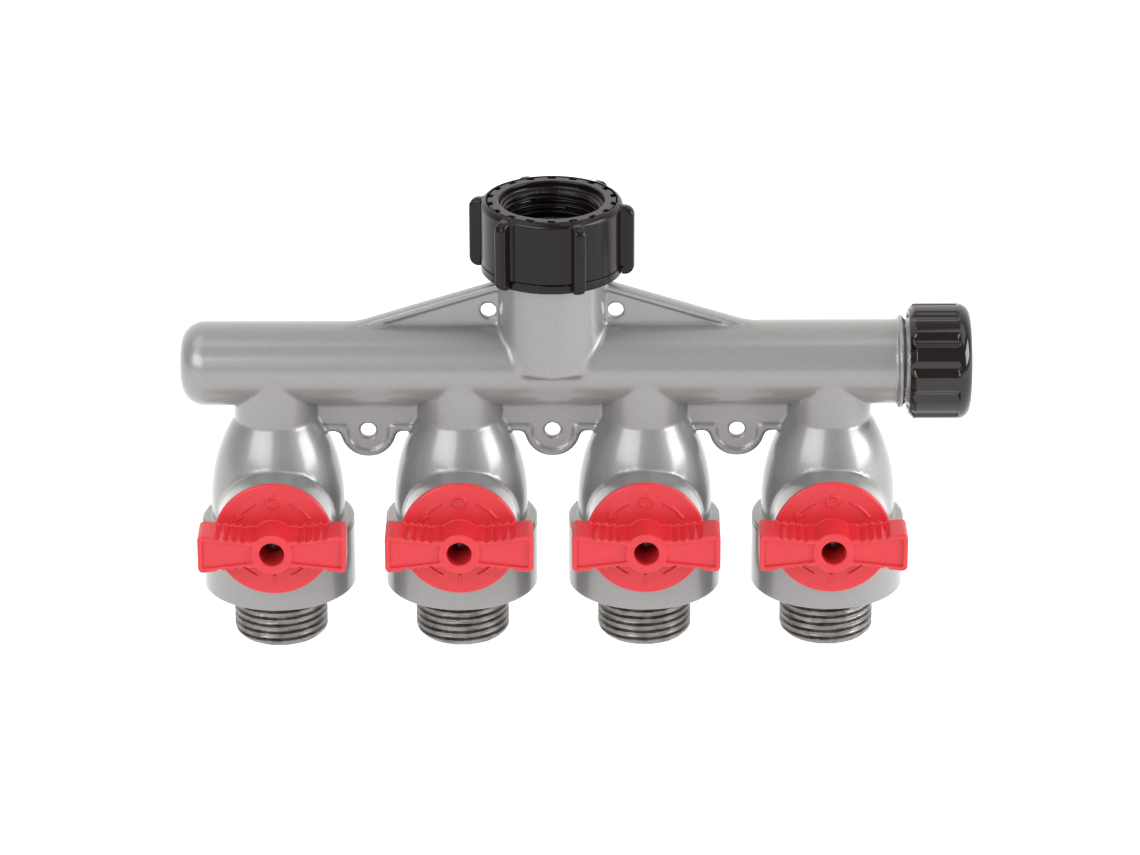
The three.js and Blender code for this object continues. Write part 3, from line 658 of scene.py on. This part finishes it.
def marks(x, z):
    """Raised marks on the disc: a ring for off, a bar for on and two turning arrows."""
    from_ring = np.sqrt(x * x + (z - RING_Z) ** 2) - RING_RADIUS
    off = np.abs(from_ring) - RING_HALF_WIDTH
    on = rounded(np.abs(x) - BAR_HALF_WIDTH, np.abs(z - BAR_Z) - BAR_HALF_HEIGHT, BAR_CORNER)
    radius = np.sqrt(x * x + z * z)
    from_top = np.degrees(np.arctan2(np.abs(x), np.abs(z)))
    arc_ends = between(from_top, ARC_START, ARC_END) * ARC_DEGREE
    arcs = np.maximum(np.abs(radius - ARC_RADIUS) - ARC_HALF_WIDTH, arc_ends)
    half = np.sign(z)
    from_tip_x = x - ARROW_TIP[0] * half
    from_tip_z = z - ARROW_TIP[1] * half
    toward_x, toward_z = ARROW_DIRECTION
    along = from_tip_x * toward_x * half + from_tip_z * toward_z * half
    across = from_tip_x * -toward_z * half + from_tip_z * toward_x * half
    head = np.abs(across) + along * ARROW_FLARE - ARROW_FLARE
    head = np.maximum(head, -along - ARROW_LENGTH)
    return np.minimum(np.minimum(np.minimum(off, on), arcs), head)


def lever_field(x, front, radial, z):
    """The grooved lever with its hub and the sunk panels in its front."""
    outline = lever_outline(x, z)
    lever = rounded(outline, between(front, LEVER_ROOT, LEVER_FRONT), LEVER_EDGE)
    lever = carve(lever, grip_grooves(x, z), GROOVE_EDGE)
    hub_wall = HUB_RIM + HUB_FLARE * (LEVER_FRONT - front) - radial
    hub_wall = hub_wall / math.hypot(1, HUB_FLARE)
    opening = rounded(outline + LEVER_RIM, hub_wall, PANEL_EDGE)
    panel = np.maximum(opening, LEVER_FRONT - PANEL_DEPTH - front)
    return carve(lever, panel, PANEL_EDGE)


def handle_field(x, y, z):
    """About the valve's axis: X across, Z up, Y to the back."""
    front = -y
    radial = np.sqrt(x * x + z * z)
    plate = disc(radial, front, DISC_RADIUS, DISC_BACK, DISC_FRONT, DISC_EDGE)
    hub = disc(radial, front, HUB_RADIUS, LEVER_ROOT, LEVER_FRONT, HUB_EDGE)
    body = fuse(fuse(plate, lever_field(x, front, radial, z), LEVER_FILLET), hub, HUB_FILLET)
    raised = rounded(marks(x, z), front - DISC_FRONT - MARK_HEIGHT, MARK_EDGE)
    raised = np.maximum(raised, LEVER_ROOT - front)
    body = fuse(body, raised, MARK_FILLET)
    sleeve = disc(radial, front, SOCKET_RADIUS, HANDLE_BACK, DISC_BACK + OVERLAP, SOCKET_EDGE)
    body = fuse(body, sleeve, SOCKET_FILLET)
    hole = disc(radial, front, HUB_HOLE, HUB_FLOOR, LEVER_FRONT + CLEAR, HUB_FLOOR_EDGE)
    for_screw = disc(
        radial, front, SCREW_HOLE, HANDLE_BACK, HUB_FLOOR + OVERLAP, SCREW_HOLE_EDGE
    )
    across = np.maximum(np.abs(x), np.abs(z)) - SOCKET_HALF
    socket = np.maximum(across, front - HUB_FLOOR + SOCKET_ROOF)
    hollow = np.minimum(np.minimum(hole, for_screw), socket)
    return carve(body, hollow, HUB_MOUTH_EDGE)


def screw_field(x, y, z):
    front = -y
    radial = np.sqrt(x * x + z * z)
    back = SCREW_FRONT - SCREW_HEAD
    dome = np.sqrt(radial**2 + (front - SCREW_FRONT + SCREW_DOME) ** 2) - SCREW_DOME
    head = disc(radial, front, SCREW_RADIUS, back, SCREW_FRONT + OVERLAP, SCREW_EDGE)
    head = np.maximum(head, dome)
    shank_end = SCREW_FRONT - SCREW_LENGTH
    shank = disc(radial, front, SCREW_SHANK, shank_end, back + OVERLAP / 2, SCREW_EDGE)
    wide = np.maximum(np.abs(x), np.abs(z)) - CROSS_REACH
    narrow = np.minimum(np.abs(x), np.abs(z)) - CROSS_HALF_WIDTH
    cross = np.maximum(np.maximum(wide, narrow), SCREW_FRONT - CROSS_DEPTH - front)
    return carve(np.minimum(head, shank), cross, CROSS_EDGE)


def add_at_valves(name, field, axes, material):
    """One copy of a piece at each valve, riding with it in place of its CAD node."""
    points, quads, normals = skin(field, axes)
    lifted = points + np.array([0, 0, VALVE])
    for i, x in enumerate(branch_x):
        place = in_row_frame(lifted, x)
        piece = mesh_object(f"{name}_{i + 1}_look", place, quads, normals, material)
        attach(piece, f"valve_{i + 1}")
        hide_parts(f"{name}_{i + 1}")


def add_handles(material):
    step = 0.3
    reach = LEVER_HALF + 1
    first_y = -LEVER_FRONT - 0.9
    fine_y = [(first_y, 1.5 - LEVER_FRONT), (-DISC_FRONT - 0.8, 0.3 - DISC_FRONT)]
    axes = [
        spaced(-reach, reach, step),
        spaced(first_y, -HANDLE_BACK + 1, 0.4, 0.25, fine_y),
        spaced(-DISC_RADIUS - 1, DISC_RADIUS + 1, step),
    ]
    add_at_valves("handle", handle_field, axes, material)


def add_screws(material):
    across = spaced(-4, 4, 0.2)
    along = spaced(-SCREW_FRONT - 1, 10.5 - SCREW_FRONT, 0.25)
    add_at_valves("handle_screw", screw_field, [across, along, across], material)


# ---------- Inlet nut ----------
RING_EDGE = 0.3
FOOT_EDGE = 0.5
THROAT_EDGE = 0.3
NUT_MOUTH_EDGE = 0.8
NUT_HOLLOW_EDGE = 0.5
NOTCH_EDGE = 0.15
LUG_FILLET = 0.7
GRIP_CUT_EDGE = 0.1


def nut_ring_field(x, y, z):
    radial = np.sqrt(x * x + y * y)
    angle = np.arctan2(y, x)
    top = NUT_TOP - NUT_RING_DROP
    body = disc(radial, z, NUT_RING, NUT_BOTTOM, top, RING_EDGE)
    foot = rounded(radial - GRIP_OUTER, NUT_BOTTOM - z, FOOT_EDGE)
    foot = np.maximum(foot, z - NUT_BOTTOM - NUT_FOOT)
    body = np.minimum(body, foot)
    height = thread_height(z, angle, SPIGOT_TOP + 2.6, NUT_TOP - 2)
    hollow = np.maximum(female_thread(radial, height), NUT_BOTTOM + NUT_FLOOR - z)
    mouth_floor = NUT_TOP - NUT_MOUTH_DEPTH
    mouth = disc(radial, z, NUT_MOUTH, mouth_floor, NUT_TOP + CLEAR, NUT_MOUTH_EDGE)
    hollow = np.minimum(hollow, mouth)
    throat_radius = SPIGOT_RADIUS + TURNED_FIT
    throat = disc(radial, z, throat_radius, NUT_BOTTOM - CLEAR, NUT_TOP, THROAT_EDGE)
    body = carve(body, np.minimum(hollow, throat), NUT_HOLLOW_EDGE)
    spacing = 2 * math.pi / NOTCHES
    local = (angle / spacing - np.floor(angle / spacing) - 0.5) * spacing
    across = np.abs(radial * np.sin(local)) - NOTCH_HALF
    notch = np.maximum(across, between(radial, NOTCH_INNER, NOTCH_OUTER))
    notch = np.maximum(notch, top - NOTCH_DEPTH - z)
    return carve(body, notch, NOTCH_EDGE)


def nut_grip_field(x, y, z):
    radial = np.sqrt(x * x + y * y)
    local = to_sector(np.arctan2(y, x) - LUG_PHASE, LUGS)
    body = np.maximum(rounded(radial - GRIP_OUTER, z - NUT_TOP, GRIP_SHOULDER), SEAM - z)
    out = radial * np.cos(local) - GRIP_OUTER - LUG_REACH
    across = np.abs(radial * np.sin(local)) - LUG_HALF
    side = rounded(out, between(z, NUT_BOTTOM, NUT_TOP - LUG_DROP), LUG_CORNER)
    body = fuse(body, rounded(side, across, LUG_EDGE), LUG_FILLET)
    foot = np.maximum(radial - GRIP_OUTER - FOOT_RELIEF, z - SEAM)
    return carve(body, np.minimum(radial - GRIP_INNER, foot), GRIP_CUT_EDGE)


def add_nut(material):
    reach = GRIP_OUTER + 1
    across = spaced(-reach, reach, 0.5)
    fine_z = [(SEAM - 0.6, SEAM + 0.6), (NUT_TOP - 3, NUT_TOP + 1)]
    up = spaced(NUT_BOTTOM - 0.95, NUT_TOP + 1, 0.5, 0.2, fine_z)
    wide = spaced(-reach - LUG_REACH, reach + LUG_REACH, 0.55)
    for name, node, field, axes in (
        ("nut_ring", "inlet_nut_thread_ring", nut_ring_field, [across, across, up]),
        ("nut_grip", "inlet_nut_grip", nut_grip_field, [wide, wide, up]),
    ):
        points, quads, normals = skin(field, axes)
        piece = mesh_object(name, in_row_frame(points), quads, normals, material)
        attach(piece, "inlet_nut")
        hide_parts(node)


# ---------- End cap ----------
FLUTE_STOP_EDGE = 0.8
FLUTE_EDGE = 0.5
CAP_MOUTH_EDGE = 0.4


def cap_field(x, y, z):
    radial = np.sqrt(y * y + z * z)
    angle = np.arctan2(y, -z)
    body = rounded(radial - CAP_RADIUS, x - CAP_END, CAP_CORNER)
    bevel = (CAP_RIM - x + (radial - CAP_RADIUS + CAP_BEVEL)) * CONE_SCALE
    body = np.maximum(np.maximum(body, CAP_RIM - x), bevel)
    local = to_sector(angle - FLUTE_PHASE, FLUTES)
    centre = CAP_RADIUS + FLUTE_RADIUS - FLUTE_DEPTH
    from_axis = np.sqrt((radial * np.cos(local) - centre) ** 2 + (radial * np.sin(local)) ** 2)
    flute = rounded(from_axis - FLUTE_RADIUS, x - CAP_END + FLUTE_STOP, FLUTE_STOP_EDGE)
    body = carve(body, flute, FLUTE_EDGE)
    height = thread_height(x - THREAD_PITCH / 2, angle, CAP_RIM, CAP_FLOOR - 3)
    hollow = np.maximum(female_thread(radial, height), x - CAP_FLOOR)
    return carve(body, hollow, CAP_MOUTH_EDGE)


def add_cap(material):
    step = 0.45
    across = spaced(-CAP_RADIUS - 1, CAP_RADIUS + 1, step)
    along = spaced(CAP_RIM - 1, CAP_END + 1, step)
    points, quads, normals = skin(cap_field, [along, across, across])
    piece = mesh_object("cap", in_row_frame(points), quads, normals, material)
    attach(piece, "end_cap")
    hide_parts("end_cap")


# ---------- Materials ----------
RED = (0.62, 0.024, 0.034)
BLACK = (0.0072, 0.0052, 0.0046)
BUMP_DISTANCE = 0.0001


def new_material(name, color, roughness, metallic):
    material = bpy.data.materials.new(name)
    material.use_nodes = True
    shader = material.node_tree.nodes["Principled BSDF"]
    shader.inputs["Base Color"].default_value = (*color, 1)
    shader.inputs["Roughness"].default_value = roughness
    shader.inputs["Metallic"].default_value = metallic
    return material, shader


def object_noise(material, scale, detail):
    tree = material.node_tree
    place = tree.nodes.new("ShaderNodeTexCoord")
    noise = tree.nodes.new("ShaderNodeTexNoise")
    noise.inputs["Scale"].default_value = scale
    noise.inputs["Detail"].default_value = detail
    tree.links.new(place.outputs["Object"], noise.inputs["Vector"])
    return noise


def ramp(material, source, low, high):
    """Blends two colours by a source from 0 to 1. Each is given as a position and a colour."""
    tree = material.node_tree
    node = tree.nodes.new("ShaderNodeValToRGB")
    for element, (position, color) in zip(node.color_ramp.elements, (low, high)):
        element.position = position
        element.color = (*color, 1)
    tree.links.new(source, node.inputs["Fac"])
    return node.outputs["Color"]


def bump(material, shader, source, strength):
    tree = material.node_tree
    node = tree.nodes.new("ShaderNodeBump")
    node.inputs["Strength"].default_value = strength
    node.inputs["Distance"].default_value = BUMP_DISTANCE
    tree.links.new(source, node.inputs["Height"])
    tree.links.new(node.outputs["Normal"], shader.inputs["Normal"])


def grey(value, warm=0.0):
    return (value * (1 + warm), value, value * (1 - warm))


def silver_paint():
    """Flake paint: a rough, partly metallic base under a clear coat."""
    material, shader = new_material("silver_paint", grey(0.26), roughness=0.45, metallic=0.5)
    shader.inputs["Coat Weight"].default_value = 1
    shader.inputs["Coat Roughness"].default_value = 0.16
    fleck = object_noise(material, scale=1800, detail=2).outputs["Fac"]
    tone = ramp(material, fleck, (0.3, grey(0.247)), (0.7, grey(0.273, 0.01)))
    material.node_tree.links.new(tone, shader.inputs["Base Color"])
    bump(material, shader, fleck, strength=0.03)
    return material


def turned_metal():
    material, shader = new_material("turned_metal", grey(0.25, 0.02), roughness=0.42, metallic=1)
    wear = object_noise(material, scale=300, detail=5).outputs["Fac"]
    tone = ramp(material, wear, (0.3, grey(0.17, 0.05)), (0.7, grey(0.31, 0.04)))
    material.node_tree.links.new(tone, shader.inputs["Base Color"])
    bump(material, shader, wear, strength=0.25)
    return material


def moulded(name, color, roughness, grain_scale, grain, reflection=0.5):
    """Injection-moulded plastic with a fine grain."""
    material, shader = new_material(name, color, roughness, metallic=0)
    shader.inputs["Specular IOR Level"].default_value = reflection
    fine = object_noise(material, grain_scale, detail=3).outputs["Fac"]
    darker = tuple(0.9 * c for c in color)
    tone = ramp(material, fine, (0.25, darker), (0.75, color))
    material.node_tree.links.new(tone, shader.inputs["Base Color"])
    bump(material, shader, fine, strength=grain)
    return material


def metal(name, color, roughness):
    """Bright metal whose gloss varies a little."""
    material, shader = new_material(name, color, roughness, metallic=1)
    fine = object_noise(material, scale=700, detail=3).outputs["Fac"]
    glossy, dull = grey(roughness * 0.8), grey(roughness * 1.3)
    gloss = ramp(material, fine, (0.2, glossy), (0.8, dull))
    material.node_tree.links.new(gloss, shader.inputs["Roughness"])
    return material


def paint_cad_nodes():
    """Materials for the CAD nodes that still show."""
    finishes = {
        "steel": metal("steel", (0.42, 0.42, 0.44), 0.3),
        "rubber": moulded("rubber", (0.02, 0.02, 0.02), 0.75, 900, 0.3),
        "seat_plastic": moulded("seat_plastic", (0.8, 0.79, 0.76), 0.45, 500, 0.1),
        "chrome": metal("chrome", (0.7, 0.7, 0.72), 0.08),
        "brass": metal("brass", (0.62, 0.44, 0.18), 0.28),
    }
    for part in frame["record"]["subparts"]:
        finish = finishes.get(part["material_slot"])
        if finish is not None:
            node = frame["nodes"][part["node"]]
            node.data.materials.clear()
            node.data.materials.append(finish)


# ---------- Studio ----------
FLOOR_HALF = 3
FLOOR_DROP = 0.0002
SOFTBOX_DISTANCE = 1.2
ROOM_FRONT = grey(0.29, 0.01)
ROOM_BACK = grey(1.3, 0.03)


def add_floor():
    mesh = bpy.data.meshes.new("floor")
    size = FLOOR_HALF
    corners = [(-size, -size, 0), (size, -size, 0), (size, size, 0), (-size, size, 0)]
    mesh.from_pydata(corners, [], [(0, 1, 2, 3)])
    floor = bpy.data.objects.new("floor", mesh)
    floor.location.z = -FLOOR_DROP
    material, shader = new_material("floor", grey(0.35), roughness=0.9, metallic=0)
    shader.inputs["Emission Color"].default_value = (*grey(1), 1)
    shader.inputs["Emission Strength"].default_value = 1
    mesh.materials.append(material)
    bpy.context.scene.collection.objects.link(floor)


def add_softbox(name, azimuth, elevation, size, power):
    """An area light that looks at the part. Azimuth 0 is the camera's side, 90 is to the right."""
    data = bpy.data.lights.new(name, "AREA")
    data.shape = "RECTANGLE"
    data.size, data.size_y = size
    data.energy = power
    light = bpy.data.objects.new(name, data)
    side, rise = math.radians(azimuth), math.radians(elevation)
    level = math.cos(rise)
    direction = Vector((math.sin(side) * level, -math.cos(side) * level, math.sin(rise)))
    light.location = Vector(ORIGIN) + SOFTBOX_DISTANCE * direction
    light.rotation_euler = direction.to_track_quat("Z", "Y").to_euler()
    bpy.context.scene.collection.objects.link(light)


def light_studio():
    """A pale room that is darker in front of the part, with two softboxes on each side."""
    world = bpy.data.worlds.new("studio")
    world.use_nodes = True
    bpy.context.scene.world = world
    tree = world.node_tree
    place = tree.nodes.new("ShaderNodeTexCoord")
    parts = tree.nodes.new("ShaderNodeSeparateXYZ")
    depth = tree.nodes.new("ShaderNodeMapRange")
    shade = tree.nodes.new("ShaderNodeValToRGB")
    depth.inputs["From Min"].default_value = -1
    tree.links.new(place.outputs["Generated"], parts.inputs["Vector"])
    tree.links.new(parts.outputs["Y"], depth.inputs["Value"])
    tree.links.new(depth.outputs["Result"], shade.inputs["Fac"])
    front, back = shade.color_ramp.elements
    front.position = 0.5
    front.color = (*ROOM_FRONT, 1)
    back.position = 0.85
    back.color = (*ROOM_BACK, 1)
    tree.links.new(shade.outputs["Color"], tree.nodes["Background"].inputs["Color"])
    for name, azimuth, elevation, size, power in (
        ("left_box", -37, 26, (1.0, 0.55), 8),
        ("right_box", 74, 17, (0.75, 0.5), 11),
        ("high_left_box", -72, 62, (0.8, 0.8), 3.5),
        ("high_right_box", 72, 62, (0.8, 0.8), 3.5),
    ):
        add_softbox(name, azimuth, elevation, size, power)


# ---------- Build ----------
bpy.context.scene.view_settings.view_transform = "Standard"
add_camera()
add_floor()
light_studio()
paint = silver_paint()
add_casting(paint)
add_nipples(paint, turned_metal())
add_handles(moulded("red_plastic", RED, roughness=0.38, grain_scale=800, grain=0.05))
add_screws(metal("screw_steel", (0.3, 0.3, 0.31), roughness=0.35))
add_nut(moulded("black_plastic", BLACK, 0.22, grain_scale=700, grain=0.06, reflection=0.25))
add_cap(moulded("black_gloss", BLACK, roughness=0.09, grain_scale=200, grain=0.02))
paint_cad_nodes()
